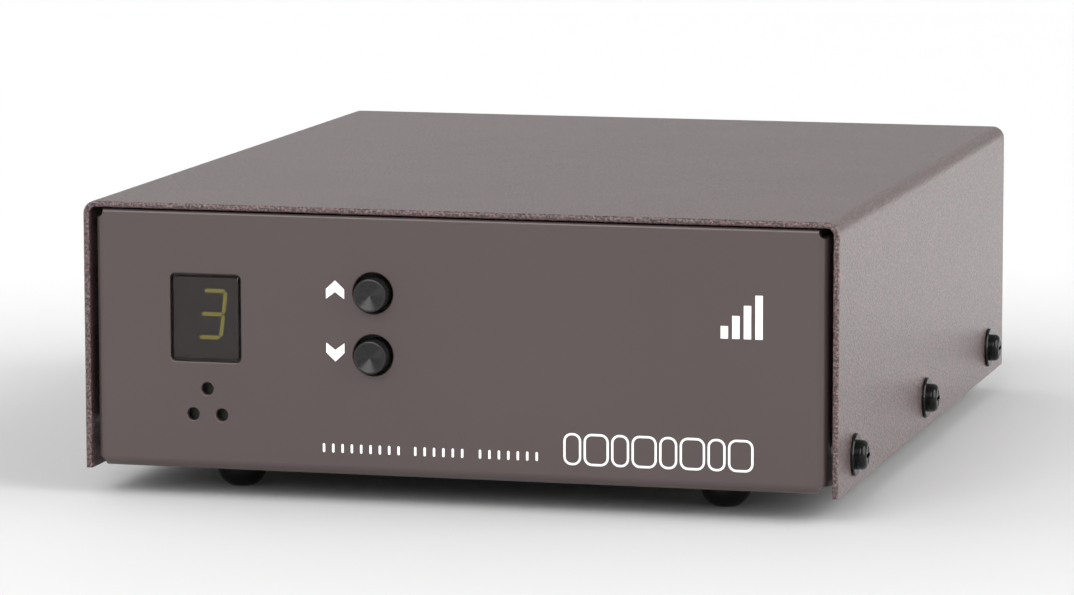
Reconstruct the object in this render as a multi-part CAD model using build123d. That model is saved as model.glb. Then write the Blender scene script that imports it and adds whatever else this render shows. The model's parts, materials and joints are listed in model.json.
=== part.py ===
from build123d import *
import os
from math import cos, radians, sin, tan

# Antenna selector control box. Millimetres, +Z up, the front panel faces -Y, +X is to the right as seen from
# the front. The origin is on the table under the middle of the object.

os.makedirs("parts", exist_ok=True)

# ---------------------------------------------------------------- driving dimensions: case
COVER_W = 188.0
COVER_D = 227.0
COVER_H = 66.0
SHEET = 1.5
COVER_BEND_R = 3.2
COVER_EDGE_R = 0.6       # paint rounds the cut edges of the sheet
PANEL_EDGE_R = 0.3
FOOT_H = 6.6             # lower edge of the cover above the table
CHASSIS_W = 182.2
CHASSIS_LIFT = 0.75      # underside of the chassis above the cover's lower edge
CHASSIS_TOP = 64.1       # top of the panels above the cover's lower edge
CHASSIS_BEND_R = 2.5
TOP_BEND_R = 0.8         # the tighter bend along the top of both panels
PANEL_RECESS = 0.3       # panels stand this far inside the cover's ends
RETURN_D = 10.0          # width of the bent-back edges of the panels
SIDE_FLANGE_H = 14.0
RELIEF_R = 1.5           # round notch where two bends meet
RELIEF_INSET = 0.6
RELIEF_SLOT = 3.2

# ---------------------------------------------------------------- driving dimensions: fasteners and feet
COVER_SCREW_Z = 7.8
COVER_SCREW_INSET = 19.5
COVER_SCREW_PITCH = 92.0
M4_R = 2.0
M4_HEAD_R = 3.6
M4_HEAD_H = 2.6
COVER_WASHER_R = 5.2
COVER_WASHER_T = 0.8
RIVET_BODY_R = 3.0
RIVET_HEAD_R = 4.75
RIVET_LENGTH = 9.0
FOOT_X = 61.5
FOOT_INSET = 24.0
FOOT_TOP_R = 6.3
FOOT_SHOULDER_H = 5.2    # the foot is domed below this height
FOOT_BULGE = (5.4, 2.12)  # a point of the dome, as radius and height
FOOT_FLAT_R = 3.0
FOOT_BORE_R = 1.9        # lets the driver through to the screw
M3_R = 1.5
M3_HEAD_R = 2.8
M3_HEAD_H = 2.1
M3_NUT_AF = 5.5
M3_NUT_H = 2.4
FOOT_HEAD_TOP = 3.5      # the screw's head sits in the foot below this height
POCKET_GAP = 0.05
THREAD_GAP = 0.02        # keeps a thread's outside clear of the nut's bore

# ---------------------------------------------------------------- driving dimensions: front panel
WINDOW_X = -62.9
WINDOW_Z = 38.1
WINDOW_W = 18.0
WINDOW_H = 21.6
WINDOW_CORNER_R = 1.3
FILTER_GAP = 0.7         # all round the raised middle of the filter, inside the window
FILTER_RECESS = 0.1      # raised middle behind the panel's face
FILTER_W = 22.5
FILTER_H = 26.0
FILTER_T = 1.2           # flange behind the panel
SOUND_HOLE_R = 1.55
SOUND_HOLE_PITCH = 7.3
SOUNDER_X = -62.6
SOUNDER_Z = 16.5
BUTTON_X = -20.5
UP_BUTTON_Z = 45.55
DOWN_BUTTON_Z = 30.45
SWITCH_DROP = 0.25       # each switch sits this far below the middle of its hole
BUTTON_HOLE_R = 5.0
CAP_R = 4.05
CAP_PROUD = 3.0
CAP_BACK = 3.2           # rear face of a cap behind the panel's face
CAP_CHAMFER = 0.3
BUTTON_TRAVEL = 1.2

# ---------------------------------------------------------------- driving dimensions: display and its board
DISPLAY_FACE = 5.0       # depths are measured back from the front panel's face
BOARD_FACE = 12.0
BOARD_T = 1.6
FRONT_BOARD_X = (-81.0, -5.0)
FRONT_BOARD_Z = (8.0, 58.0)
STUD_X = (-77.0, -9.0)
STUD_Z = (12.0, 54.0)
DIGIT_X = -62.8
DIGIT_Z = 38.4
DIGIT_H = 12.5
DIGIT_W = 6.7
SEGMENT_W = 1.0
SEGMENT_DEPTH = 0.4
DIGIT_SLANT = tan(radians(7.0))
HOUSING_W = 12.4
HOUSING_H = 17.5
SWITCH_SIZE = 12.0
SWITCH_FACE = 5.6
PLUNGER_R = 1.85
PLUNGER_FLANGE_R = 2.8
SLIDE_GAP = 0.05
SOUNDER_R = 6.9
SOUNDER_FACE = 3.5

# ---------------------------------------------------------------- driving dimensions: main board
MAIN_BOARD_W = 150.0
MAIN_BOARD_D = 120.0
STANDOFF_H = 8.0
STANDOFF_AF = 5.5
STANDOFF_INSET = 5.0
RIBBON_X = -42.0
RIBBON_W = 12.7
RIBBON_T = 0.9
RIBBON_BEND_R = 12.0
IC_PITCH = 2.54
SOLDER_GAP = 0.5

# ---------------------------------------------------------------- driving dimensions: rear panel
SOCKET_Z = 19.5
CONTROL_SOCKET_X = 28.0
SERIAL_SOCKET_X = -16.0
PHONO_X = (-42.0, -58.0)
PHONO_R = 4.15
PHONO_SHOULDER_R = 4.35
PHONO_BORE_R = 1.6
PHONO_OUT = 9.0
JACK_AF = 5.0
JACK_LENGTH = 5.0
JACK_THREAD_R = 1.42
GROUND_X = 70.0
GROUND_Z = 36.0
GROUND_R = 2.45
GROUND_OUT = 15.0
GROUND_NUT_H = 4.0
CLAMP_WASHER_T = 1.0
WING_HUB_H = 4.5
WING_SPAN = 22.0
WING_GAP = 0.05
TURNING_GAP = 0.02       # keeps the washer's face clear of the fixed nut below it
SHELL_H = 8.3            # outside height of a socket's shroud
SHELL_T = 0.6
SHELL_REACH = 5.9
FLANGE_T = 1.0
FLANGE_H = 12.5
FLANGE_HOLE_R = 1.6
HOUSING_DEPTH = 10.0
CONTACT_R = 0.85
CONTACT_BORE_R = 0.52
CONTACT_PITCH = 2.76
CONTROL_SOCKET = {"name": "control", "shell_w": 25.0, "flange_w": 39.1, "spacing": 33.32, "long_row": 8}
SERIAL_SOCKET = {"name": "serial", "shell_w": 16.7, "flange_w": 30.8, "spacing": 24.99, "long_row": 5}
SOCKETS = ({"x": CONTROL_SOCKET_X, **CONTROL_SOCKET}, {"x": SERIAL_SOCKET_X, **SERIAL_SOCKET})

# ---------------------------------------------------------------- worked-out places
OVERALL_D = CAP_PROUD - PANEL_RECESS + COVER_D - PANEL_RECESS + GROUND_OUT
COVER_FRONT = -OVERALL_D / 2 + CAP_PROUD - PANEL_RECESS
COVER_REAR = COVER_FRONT + COVER_D
PANEL_FACE = COVER_FRONT + PANEL_RECESS
REAR_FACE = COVER_REAR - PANEL_RECESS
REAR_INSIDE = REAR_FACE - SHEET
CHASSIS_FLOOR = FOOT_H + CHASSIS_LIFT
PAN_TOP = CHASSIS_FLOOR + SHEET
CHASSIS_CEILING = FOOT_H + CHASSIS_TOP
BOARD_UNDER = PAN_TOP + STANDOFF_H
BOARD_TOP = BOARD_UNDER + BOARD_T
MAIN_REAR = REAR_INSIDE - 2.0
MAIN_FRONT = MAIN_REAR - MAIN_BOARD_D
SCREW_ROWS = [COVER_FRONT + COVER_SCREW_INSET + COVER_SCREW_PITCH * i for i in range(3)]
FOOT_ROWS = (COVER_FRONT + FOOT_INSET, COVER_REAR - FOOT_INSET)


# ---------------------------------------------------------------- shared shapes
def up(height):
    """Height above the table of a point this far above the cover's lower edge."""
    return FOOT_H + height


def back(depth):
    """Y of a point this far behind the front panel's face."""
    return PANEL_FACE + depth


def block(xs, ys, zs):
    """Box between two corners, given as ranges."""
    size = [abs(pair[1] - pair[0]) for pair in (xs, ys, zs)]
    centre = [(pair[1] + pair[0]) / 2 for pair in (xs, ys, zs)]
    return Pos(*centre) * Box(*size)


def slab(outline, y_from, y_to):
    """Solid of an outline drawn in X and Z, between two depths."""
    facing = Plane(origin=(0, y_to, 0), x_dir=(1, 0, 0), z_dir=(0, -1, 0))
    return extrude(facing * outline, amount=y_to - y_from)


def rod(x, z, radius, y_from, y_to):
    """Round bar along Y."""
    return slab(Pos(x, z) * Circle(radius), y_from, y_to)


def post(x, y, radius, z_from, z_to):
    """Round bar along Z."""
    return extrude(Pos(x, y, z_from) * Circle(radius), amount=z_to - z_from)


def hexagon(across_flats):
    return RegularPolygon(across_flats / 2, 6, major_radius=False)


def pan_screw(shank_r, head_r, head_h, length):
    """Cross-recessed pan-head screw along Z: the head stands on z = 0 and the shank points down."""
    head = extrude(Circle(head_r), amount=head_h)
    head = fillet(head.edges().sort_by(Axis.Z)[-1], head_h * 0.55)
    arm = head_r * 1.1
    cross = Rectangle(arm, arm * 0.24) + Rectangle(arm * 0.24, arm)
    recess = extrude(Pos(0, 0, head_h * 0.35) * cross, amount=head_h)
    point = Pos(0, 0, head_h * 0.3) * Cone(0.05, arm * 0.22, head_h * 0.5)
    shank = extrude(Pos(0, 0, -length) * Circle(shank_r), amount=length)
    shank = chamfer(shank.edges().sort_by(Axis.Z)[0], shank_r * 0.25)
    return head - recess - point + shank


def save(shape, name):
    """One STEP file for each separate piece, or for a group of alike pieces."""
    pieces = shape if isinstance(shape, list) else [shape]
    solids = [solid for piece in pieces for solid in piece.solids()]
    whole = solids[0] if len(solids) == 1 else Compound(children=solids)
    whole.label = name
    export_step(whole, f"parts/{name}.step")


# ---------------------------------------------------------------- case
def cross_rods(radius):
    """Bars along X on the axes of the cover screws, right through both sides."""
    outlines = [Plane.YZ * (Pos(y, up(COVER_SCREW_Z)) * Circle(radius)) for y in SCREW_ROWS]
    return [extrude(outline, amount=COVER_W, both=True) for outline in outlines]


def make_cover():
    outside = block((-COVER_W / 2, COVER_W / 2), (COVER_FRONT, COVER_REAR), (up(0), up(COVER_H)))
    outside = fillet(outside.edges().filter_by(Axis.Y).sort_by(Axis.Z)[-2:], COVER_BEND_R)
    half = COVER_W / 2 - SHEET
    inside = block((-half, half), (COVER_FRONT - 1, COVER_REAR + 1), (up(-1), up(COVER_H - SHEET)))
    inside = fillet(inside.edges().filter_by(Axis.Y).sort_by(Axis.Z)[-2:], COVER_BEND_R - SHEET)
    cover = outside - inside
    for hole in cross_rods(M4_R + 0.2):
        cover -= hole
    ends = cover.faces().sort_by(Axis.Y)
    return cover.fillet(COVER_EDGE_R, ends[0].edges() + ends[-1].edges())


def bent_box(inset):
    """The chassis's outside, or its inside when inset by the sheet, with every bend rounded."""
    half = CHASSIS_W / 2 - inset
    box = block(
        (-half, half),
        (PANEL_FACE + inset, REAR_FACE - inset),
        (CHASSIS_FLOOR + inset, CHASSIS_CEILING - inset),
    )
    bends = box.edges().filter_by(Axis.Z) + box.faces().sort_by(Axis.Z)[0].edges()
    box = fillet(bends, CHASSIS_BEND_R - inset)
    if inset < TOP_BEND_R:
        box = fillet(box.faces().sort_by(Axis.Z)[-1].edges(), TOP_BEND_R - inset)
    return box


def corner_reliefs():
    """Round notches at the eight corners, and the slots that part the returns from the floor's flanges."""
    half = CHASSIS_W / 2
    cuts = []
    for side in (-1, 1):
        x = side * (half - RELIEF_INSET)
        flank = (side * (half - RELIEF_SLOT), side * (half + 1))
        for face, inward in ((PANEL_FACE, 1), (REAR_FACE, -1)):
            reach = face + inward * (RETURN_D + 1)
            ends = sorted((face - inward, reach))
            cuts.append(rod(x, CHASSIS_CEILING - RELIEF_INSET, RELIEF_R, *ends))
            cuts.append(rod(x, CHASSIS_FLOOR + RELIEF_INSET, RELIEF_R, *ends))
            bend = face + inward * CHASSIS_BEND_R
            gap = face + inward * (RETURN_D + RELIEF_SLOT)
            cuts.append(block(flank, (bend, gap), (CHASSIS_FLOOR - 1, CHASSIS_FLOOR + RELIEF_SLOT)))
            flange_top = CHASSIS_FLOOR + SIDE_FLANGE_H + 1
            cuts.append(block(flank, (face + inward * RETURN_D, gap), (CHASSIS_FLOOR - 1, flange_top)))
    return cuts


def sound_holes():
    """Centres of the three sound holes, an equilateral triangle standing on its base."""
    reach = SOUND_HOLE_PITCH / 3 ** 0.5
    angles = [radians(90 + 120 * i) for i in range(3)]
    return [(SOUNDER_X + reach * cos(a), up(SOUNDER_Z) + reach * sin(a)) for a in angles]


def front_cuts():
    window = Pos(WINDOW_X, up(WINDOW_Z)) * RectangleRounded(WINDOW_W, WINDOW_H, WINDOW_CORNER_R)
    outlines = [window]
    outlines += [Pos(x, z) * Circle(SOUND_HOLE_R) for x, z in sound_holes()]
    outlines += [Pos(BUTTON_X, up(z)) * Circle(BUTTON_HOLE_R) for z in (UP_BUTTON_Z, DOWN_BUTTON_Z)]
    return [slab(outline, PANEL_FACE - 1, PANEL_FACE + SHEET + 1) for outline in outlines]


def rear_cuts():
    outlines = []
    for socket in SOCKETS:
        outlines.append(Pos(socket["x"], up(SOCKET_Z)) * d_outline(socket["shell_w"], SHELL_H, 0.3))
        outlines += [Pos(x, up(SOCKET_Z)) * Circle(1.6) for x in jack_places(socket)]
    outlines += [Pos(x, up(SOCKET_Z)) * Circle(PHONO_SHOULDER_R + 0.05) for x in PHONO_X]
    outlines.append(Pos(GROUND_X, up(GROUND_Z)) * Circle(GROUND_R + 0.05))
    return [slab(outline, REAR_INSIDE - 1, REAR_FACE + 1) for outline in outlines]


def make_chassis():
    chassis = bent_box(0) - bent_box(SHEET)
    wide = (-CHASSIS_W / 2 - 1, CHASSIS_W / 2 + 1)
    between = (PANEL_FACE + RETURN_D, REAR_FACE - RETURN_D)
    chassis -= block(wide, between, (CHASSIS_FLOOR + SIDE_FLANGE_H, CHASSIS_CEILING + 1))
    for cut in corner_reliefs() + front_cuts() + rear_cuts():
        chassis -= cut
    for hole in cross_rods(RIVET_BODY_R):
        chassis -= hole
    for x, y in foot_places():
        chassis -= post(x, y, M3_R + 0.15, CHASSIS_FLOOR - 1, PAN_TOP + 1)
    for x, y in standoff_places():
        chassis -= post(x, y, STANDOFF_AF / 2 - 0.7, CHASSIS_FLOOR - 1, PAN_TOP + 1)
    faces = chassis.faces().filter_by(Axis.Y).sort_by(Axis.Y)
    holes = faces[0].inner_wires() + faces[-1].inner_wires()
    return chassis.fillet(PANEL_EDGE_R, [edge for hole in holes for edge in hole.edges()])


def on_both_sides(piece, x):
    """Copies of a piece drawn along +Z, turned to point outwards at every cover screw."""
    copies = []
    for side in (-1, 1):
        for y in SCREW_ROWS:
            copies.append(Pos(side * x, y, up(COVER_SCREW_Z)) * Rot(0, side * 90, 0) * piece)
    return copies


def make_cover_fasteners():
    outer_face = COVER_W / 2
    washer = extrude(Circle(COVER_WASHER_R) - Circle(M4_R + 0.15), amount=COVER_WASHER_T)
    washer = chamfer(washer.edges().sort_by(Axis.Z)[-2:].sort_by(SortBy.LENGTH)[-1], 0.25)
    screw = pan_screw(M4_R - THREAD_GAP, M4_HEAD_R, M4_HEAD_H, 10.0)
    gap = COVER_W / 2 - SHEET - CHASSIS_W / 2
    nut = extrude(Circle(RIVET_HEAD_R), amount=gap)
    nut += extrude(Pos(0, 0, -RIVET_LENGTH) * Circle(RIVET_BODY_R), amount=RIVET_LENGTH)
    bulge = Pos(0, 0, -SHEET - 1.5) * Cylinder(RIVET_BODY_R + 1.0, 3.0)
    nut += fillet(bulge.edges(), 0.9)
    nut -= extrude(Pos(0, 0, -RIVET_LENGTH - 1) * Circle(M4_R), amount=RIVET_LENGTH + gap + 2)
    save(on_both_sides(screw, outer_face + COVER_WASHER_T), "cover_screws")
    save(on_both_sides(washer, outer_face), "cover_washers")
    save(on_both_sides(nut, CHASSIS_W / 2), "rivet_nuts")


def foot_places():
    return [(side * FOOT_X, y) for y in FOOT_ROWS for side in (-1, 1)]


def make_foot():
    """Domed round foot: its screw's head is held in a pocket, behind a narrower bore from below."""
    outline = Polyline((0, CHASSIS_FLOOR), (0, 0), (FOOT_FLAT_R, 0))
    outline += ThreePointArc((FOOT_FLAT_R, 0), FOOT_BULGE, (FOOT_TOP_R, FOOT_SHOULDER_H))
    outline += Polyline((FOOT_TOP_R, FOOT_SHOULDER_H), (FOOT_TOP_R, CHASSIS_FLOOR), (0, CHASSIS_FLOOR))
    foot = revolve(Plane.XZ * make_face(outline), Axis.Z)
    foot -= post(0, 0, FOOT_BORE_R, -1, FOOT_HEAD_TOP)
    foot -= post(0, 0, M3_HEAD_R + POCKET_GAP, FOOT_HEAD_TOP - M3_HEAD_H - POCKET_GAP, FOOT_HEAD_TOP)
    foot -= post(0, 0, M3_R + 0.1, 0, CHASSIS_FLOOR + 1)
    return foot


def make_feet():
    foot = make_foot()
    names = ("front_left_foot", "front_right_foot", "rear_left_foot", "rear_right_foot")
    for name, (x, y) in zip(names, foot_places()):
        save(Pos(x, y, 0) * foot, name)
    length = PAN_TOP + M3_NUT_H + 0.8 - FOOT_HEAD_TOP
    screw = Rot(180, 0, 0) * pan_screw(M3_R - THREAD_GAP, M3_HEAD_R, M3_HEAD_H, length)
    save([Pos(x, y, FOOT_HEAD_TOP) * screw for x, y in foot_places()], "foot_screws")
    nut = extrude(hexagon(M3_NUT_AF) - Circle(M3_R), amount=M3_NUT_H)
    save([Pos(x, y, PAN_TOP) * nut for x, y in foot_places()], "foot_nuts")


# ---------------------------------------------------------------- display
def leaning(points):
    """Outline of points about the digit's middle, leaned over as the digit is."""
    placed = [(DIGIT_X + x + z * DIGIT_SLANT, up(DIGIT_Z) + z) for x, z in points]
    return make_face(Polyline(*placed, close=True))


def bar(x, z, half_length, upright):
    """Pointed six-sided segment about (x, z)."""
    half = SEGMENT_W / 2
    tip = half_length - 0.12
    flat = tip - half
    ends = [(-tip, 0), (-flat, half), (flat, half), (tip, 0), (flat, -half), (-flat, -half)]
    if upright:
        ends = [(b, a) for a, b in ends]
    return leaning([(x + a, z + b) for a, b in ends])


def segment_outlines():
    """The seven segments a to g and the decimal point, in the order a b c d g, then e f and the point."""
    half_w = (DIGIT_W - SEGMENT_W) / 2
    half_h = (DIGIT_H - SEGMENT_W) / 2
    quarter = half_h / 2
    lit = [
        bar(0, half_h, half_w, False),
        bar(half_w, quarter, quarter, True),
        bar(half_w, -quarter, quarter, True),
        bar(0, -half_h, half_w, False),
        bar(0, 0, half_w, False),
    ]
    point_x = DIGIT_X + half_w + 1.5 - half_h * DIGIT_SLANT
    unlit = [
        bar(-half_w, -quarter, quarter, True),
        bar(-half_w, quarter, quarter, True),
        Pos(point_x, up(DIGIT_Z) - half_h) * Circle(0.6),
    ]
    return lit, unlit


def make_display():
    middle = Pos(WINDOW_X, up(WINDOW_Z))
    size = (WINDOW_W - 2 * FILTER_GAP, WINDOW_H - 2 * FILTER_GAP)
    raised = RectangleRounded(*size, WINDOW_CORNER_R - FILTER_GAP)
    pane = slab(middle * raised, back(FILTER_RECESS), back(SHEET))
    pane = chamfer(pane.faces().sort_by(Axis.Y)[0].edges(), 0.2)
    pane += slab(middle * Rectangle(FILTER_W, FILTER_H), back(SHEET), back(SHEET + FILTER_T))
    save(pane, "display_window")
    outline = Pos(DIGIT_X, up(DIGIT_Z)) * Rectangle(HOUSING_W, HOUSING_H)
    housing = slab(outline, back(DISPLAY_FACE), back(BOARD_FACE))
    lit, unlit = segment_outlines()
    pocket = (back(DISPLAY_FACE), back(DISPLAY_FACE + SEGMENT_DEPTH))
    for outline in lit + unlit:
        housing -= slab(outline, *pocket)
    save(housing, "display_housing")
    save([slab(outline, *pocket) for outline in lit], "lit_segments")
    save([slab(outline, *pocket) for outline in unlit], "unlit_segments")


def front_board_pin_places():
    """Solder pins of the display, the two switches and the sounder."""
    places = []
    for row in (-1, 1):
        places += [(DIGIT_X + 2.54 * i, DIGIT_Z + row * 7.62) for i in range(-2, 3)]
    for button_z in (UP_BUTTON_Z, DOWN_BUTTON_Z):
        places += [(BUTTON_X + a, button_z - SWITCH_DROP + b) for a in (-4.5, 4.5) for b in (-2.5, 2.5)]
    places += [(SOUNDER_X + a, SOUNDER_Z) for a in (-3.8, 3.8)]
    return places


def make_front_board():
    face = back(BOARD_FACE)
    rear = back(BOARD_FACE + BOARD_T)
    zs = (up(FRONT_BOARD_Z[0]), up(FRONT_BOARD_Z[1]))
    board = block(FRONT_BOARD_X, (face, rear), zs)
    studs = [(x, up(z)) for x in STUD_X for z in STUD_Z]
    for x, z in studs:
        board -= rod(x, z, M3_R + 0.1, face - 1, rear + 1)
    pins = [(x, up(z)) for x, z in front_board_pin_places()]
    for x, z in pins:
        board -= rod(x, z, 0.3, face - 1, rear + 1)
    save(board, "display_board")
    save([rod(x, z, 0.3, face, rear + 1.5) for x, z in pins], "front_board_pins")
    weld = back(SHEET)
    stud_end = rear + M3_NUT_H + 1.5
    save(
        [rod(x, z, 2.4, weld, weld + 0.8) + rod(x, z, M3_R - THREAD_GAP, weld, stud_end) for x, z in studs],
        "board_studs",
    )
    ring = Circle(3.0) - Circle(M3_R + 0.1)
    save([slab(Pos(x, z) * ring, weld + 0.8, face) for x, z in studs], "board_spacers")
    nut = hexagon(M3_NUT_AF) - Circle(M3_R)
    save([slab(Pos(x, z) * nut, rear, rear + M3_NUT_H) for x, z in studs], "board_nuts")
    case = rod(SOUNDER_X, up(SOUNDER_Z), SOUNDER_R, back(SOUNDER_FACE), face)
    case = fillet(case.edges().sort_by(Axis.Y)[0], 0.8)
    case -= rod(SOUNDER_X, up(SOUNDER_Z), 1.2, back(SOUNDER_FACE) - 1, back(SOUNDER_FACE) + 2.5)
    save(case, "sounder")


# ---------------------------------------------------------------- push buttons
def make_button(name, button_z):
    """Cap, plunger, return spring and switch housing of one push button, all on one axis."""
    z = up(button_z - SWITCH_DROP)
    cap = rod(BUTTON_X, z, CAP_R, back(-CAP_PROUD), back(CAP_BACK))
    cap = chamfer(cap.edges().sort_by(Axis.Y)[0], CAP_CHAMFER)
    socket_end = back(0.4)
    cap -= rod(BUTTON_X, z, PLUNGER_R, socket_end, back(CAP_BACK) + 1)
    save(cap, f"{name}_button")

    flange_front = back(SWITCH_FACE + 1.2)
    flange_rear = flange_front + 0.8
    plunger = rod(BUTTON_X, z, PLUNGER_R, socket_end, flange_rear)
    plunger += rod(BUTTON_X, z, PLUNGER_FLANGE_R, flange_front, flange_rear)
    save(plunger, f"{name}_plunger")

    floor = back(BOARD_FACE - 0.8)
    square = Pos(BUTTON_X, z) * RectangleRounded(SWITCH_SIZE, SWITCH_SIZE, 0.6)
    housing = slab(square, back(SWITCH_FACE), back(BOARD_FACE))
    housing -= rod(BUTTON_X, z, PLUNGER_R + SLIDE_GAP, back(SWITCH_FACE) - 1, flange_front)
    housing -= rod(BUTTON_X, z, PLUNGER_FLANGE_R + 0.3, flange_front, floor)
    save(housing, f"{name}_switch_housing")

    wire = 0.3
    coil_r = 1.9
    height = floor - flange_rear - wire
    path = Helix(pitch=height / 4, height=height, radius=coil_r)
    section = Plane(origin=path @ 0, z_dir=path % 0) * Circle(wire / 2)
    spring = sweep(section, path=path, is_frenet=True)
    save(Pos(BUTTON_X, floor - wire / 2, z) * Rot(90, 0, 0) * spring, f"{name}_return_spring")


# ---------------------------------------------------------------- main board
def standoff_places():
    half = MAIN_BOARD_W / 2 - STANDOFF_INSET
    rows = (MAIN_FRONT + STANDOFF_INSET, MAIN_REAR - STANDOFF_INSET)
    return [(x, y) for x in (-half, half) for y in rows]


def make_main_board():
    board = block((-MAIN_BOARD_W / 2, MAIN_BOARD_W / 2), (MAIN_FRONT, MAIN_REAR), (BOARD_UNDER, BOARD_TOP))
    for x, y in standoff_places():
        board -= post(x, y, M3_R + 0.1, BOARD_UNDER - 1, BOARD_TOP + 1)
    save(board, "main_board")
    hollow = 6.0
    standoff = extrude(hexagon(STANDOFF_AF), amount=STANDOFF_H)
    standoff += post(0, 0, STANDOFF_AF / 2 - 0.7, -SHEET, 0)
    standoff -= post(0, 0, M3_R, STANDOFF_H - hollow, STANDOFF_H + 1)
    save([Pos(x, y, PAN_TOP) * standoff for x, y in standoff_places()], "standoffs")
    screw = pan_screw(M3_R - THREAD_GAP, M3_HEAD_R, M3_HEAD_H, BOARD_T + hollow - 1)
    save([Pos(x, y, BOARD_TOP) * screw for x, y in standoff_places()], "main_board_screws")


def chip(x, y, pins, row_gap):
    """Dual-in-line package with its long side along X: its body, and its legs as separate solids."""
    length = pins / 2 * IC_PITCH
    half_w = row_gap / 2 - 0.7
    low = BOARD_TOP + SOLDER_GAP
    body = block((x - length / 2, x + length / 2), (y - half_w, y + half_w), (low, low + 3.4))
    body -= post(x - length / 2, y, 0.9, low + 2.4, low + 4)
    shoulder = low + 1.9
    legs = []
    for side in (-1, 1):
        outline = Polyline(
            (side * half_w, shoulder),
            (side * (row_gap / 2 + 0.15), shoulder),
            (side * (row_gap / 2 + 0.15), BOARD_TOP),
            (side * (row_gap / 2 - 0.15), BOARD_TOP),
            (side * (row_gap / 2 - 0.15), shoulder - 0.3),
            (side * half_w, shoulder - 0.3),
            close=True,
        )
        for i in range(pins // 2):
            leg_x = x - length / 2 + IC_PITCH * (i + 0.5)
            plane = Plane(origin=(leg_x - 0.3, y, 0), x_dir=(0, 1, 0), z_dir=(1, 0, 0))
            legs.append(extrude(plane * make_face(outline), amount=0.6))
    return body, legs


def lying_part(x, y, radius, length, span):
    """Axial part lying along Y, and its two wire legs bent down to the board."""
    z = BOARD_TOP + radius + SOLDER_GAP
    body = fillet(rod(x, z, radius, y - length / 2, y + length / 2).edges(), radius * 0.35)
    legs = []
    for side in (-1, 1):
        foot = y + side * span / 2
        ends = sorted((y + side * length / 2, foot + side * 0.3))
        leg = block((x - 0.3, x + 0.3), ends, (z - 0.3, z + 0.3))
        leg += block((x - 0.3, x + 0.3), (foot - 0.3, foot + 0.3), (BOARD_TOP, z + 0.3))
        legs.append(leg)
    return body, legs


def can(x, y, radius, height):
    """Radial electrolytic capacitor: a can with a rolled groove near its foot."""
    body = post(x, y, radius, BOARD_TOP, BOARD_TOP + height)
    body = fillet(body.edges().sort_by(Axis.Z)[-1], 0.7)
    groove = Pos(x, y, BOARD_TOP + 2.2) * Torus(radius + 0.3, 0.7)
    return body - groove


def disc(x, y):
    """Ceramic disc capacitor standing across X, and its two legs."""
    middle = BOARD_TOP + 4.2
    body = fillet(rod(x, middle, 2.6, y - 0.9, y + 0.9).edges(), 0.6)
    legs = [post(x + a, y, 0.25, BOARD_TOP, middle - 2.15) - body for a in (-1.27, 1.27)]
    return body, legs


def make_regulator():
    """Upright three-lead regulator against a finned heatsink."""
    x = 50.0
    y = MAIN_FRONT + 40.0
    low = BOARD_TOP + 4.0
    tab = block((x - 5, x + 5), (y, y + 1.3), (low, low + 15.5)) - rod(x, low + 12.8, 1.8, y - 1, y + 3)
    body = block((x - 5, x + 5), (y - 3.2, y), (low, low + 9.0))
    save(tab + body, "voltage_regulator")
    leg = block((x - 0.4, x + 0.4), (y - 1.8, y - 1.4), (BOARD_TOP, low))
    legs = [Pos(a, 0, 0) * leg for a in (-2.54, 0, 2.54)]
    sink = block((x - 14, x + 14), (y + 1.3, y + 3.8), (BOARD_TOP, BOARD_TOP + 26))
    for i in range(7):
        fin = x - 13.2 + 4.4 * i
        sink += block((fin - 0.7, fin + 0.7), (y + 3.8, y + 14), (BOARD_TOP, BOARD_TOP + 26))
    save(sink, "heatsink")
    return legs


def make_components():
    """Everything soldered to the main board, and all of its legs in one group."""
    controller, legs = chip(-18, MAIN_FRONT + 48, 40, 15.24)
    save(controller, "microcontroller")
    serial, serial_legs = chip(-16, MAIN_REAR - 32, 16, 7.62)
    save(serial, "serial_driver")
    drivers = []
    for x in (14, 42):
        body, driver_legs = chip(x, MAIN_REAR - 32, 18, 7.62)
        drivers.append(body)
        legs += driver_legs
    save(drivers, "relay_drivers")
    resistors = []
    for i in range(12):
        body, wire = lying_part(-60 + 5.0 * i, MAIN_FRONT + 74, 1.2, 6.3, 10.16)
        resistors.append(body)
        legs += wire
    save(resistors, "resistors")
    diodes = []
    for i in range(4):
        body, wire = lying_part(22 + 5.5 * i, MAIN_FRONT + 20, 1.35, 5.0, 10.16)
        diodes.append(body)
        legs += wire
    save(diodes, "diodes")
    discs = []
    for x in (-52, 16, -34, 60):
        y = MAIN_FRONT + 62 if x < 50 else MAIN_REAR - 32
        body, wire = disc(x, y)
        discs.append(body)
        legs += wire
    save(discs, "ceramic_capacitors")
    cans = ((58, 20, 6.3, 20), (32, 34, 5, 12), (20, 34, 4, 11))
    stood = [can(x, MAIN_FRONT + y, radius, height) for x, y, radius, height in cans]
    save(stood, "electrolytic_capacitors")
    oval = SlotOverall(11.0, 4.7)
    brim = SlotOverall(12.2, 5.4)
    crystal = extrude(Pos(-56, MAIN_FRONT + 48, BOARD_TOP) * brim, amount=0.5)
    crystal += fillet(
        extrude(Pos(-56, MAIN_FRONT + 48, BOARD_TOP) * oval, amount=3.6).edges().sort_by(Axis.Z)[-1:], 0.5
    )
    save(crystal, "crystal")
    save(legs + serial_legs + make_regulator(), "component_leads")


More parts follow.
